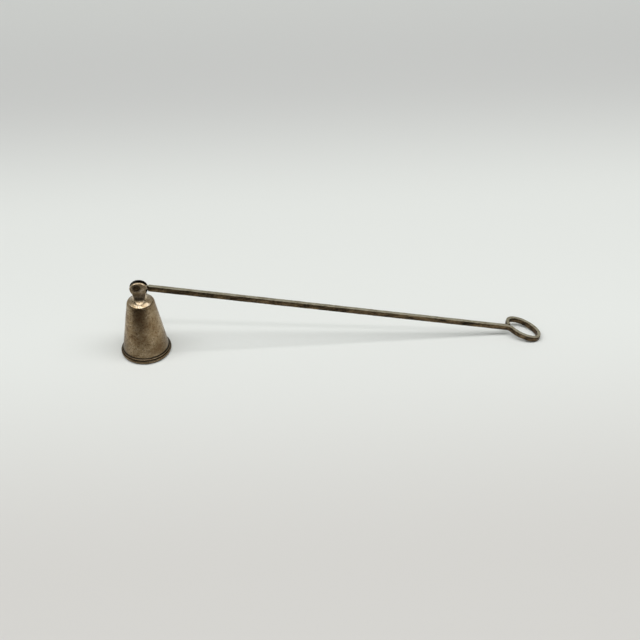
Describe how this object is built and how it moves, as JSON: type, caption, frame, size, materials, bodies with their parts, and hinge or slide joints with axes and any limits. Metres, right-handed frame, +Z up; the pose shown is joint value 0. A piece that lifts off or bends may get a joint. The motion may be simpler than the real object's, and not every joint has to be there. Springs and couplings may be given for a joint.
{
  "type": "candle snuffer",
  "caption": "Candle snuffer with a conical metal bell riveted in a slotted yoke to a long slim handle that ends in an oval eye.",
  "frame": {"origin": "under the middle of the whole snuffer, on the surface that it stands on", "axes": "+Z up, +X along the handle from the bell to the eye, +Y along the pivot rivet, towards the back"},
  "size_m": [0.268, 0.032, 0.0544],
  "materials": {
    "bell_plate": "worn silver plate over brass, brown-grey tarnish, half polished",
    "yoke_plate": "worn silver plate over brass, polished shoulder, dark in the slot and seam",
    "screw_brass": "dull bare brass",
    "rivet_plate": "dark tarnished head, rubbed bright in the middle",
    "handle_plate": "worn silver plate, grey on top, mottled brown and black tarnish on the sides"
  },
  "bodies": {
    "handle": {"handle": "handle_plate"},
    "bell": {"bell": "bell_plate", "yoke": "yoke_plate", "crown_screw": "screw_brass", "pivot_rivet": "rivet_plate"}
  },
  "joints": [
    {"name": "bell_swing", "type": "hinge", "parent": "handle", "child": "bell", "pos_m": [-0.11919, 0, 0.0505], "axis": [0, 1, 0], "range_deg": [-16, 237]}
  ]
}
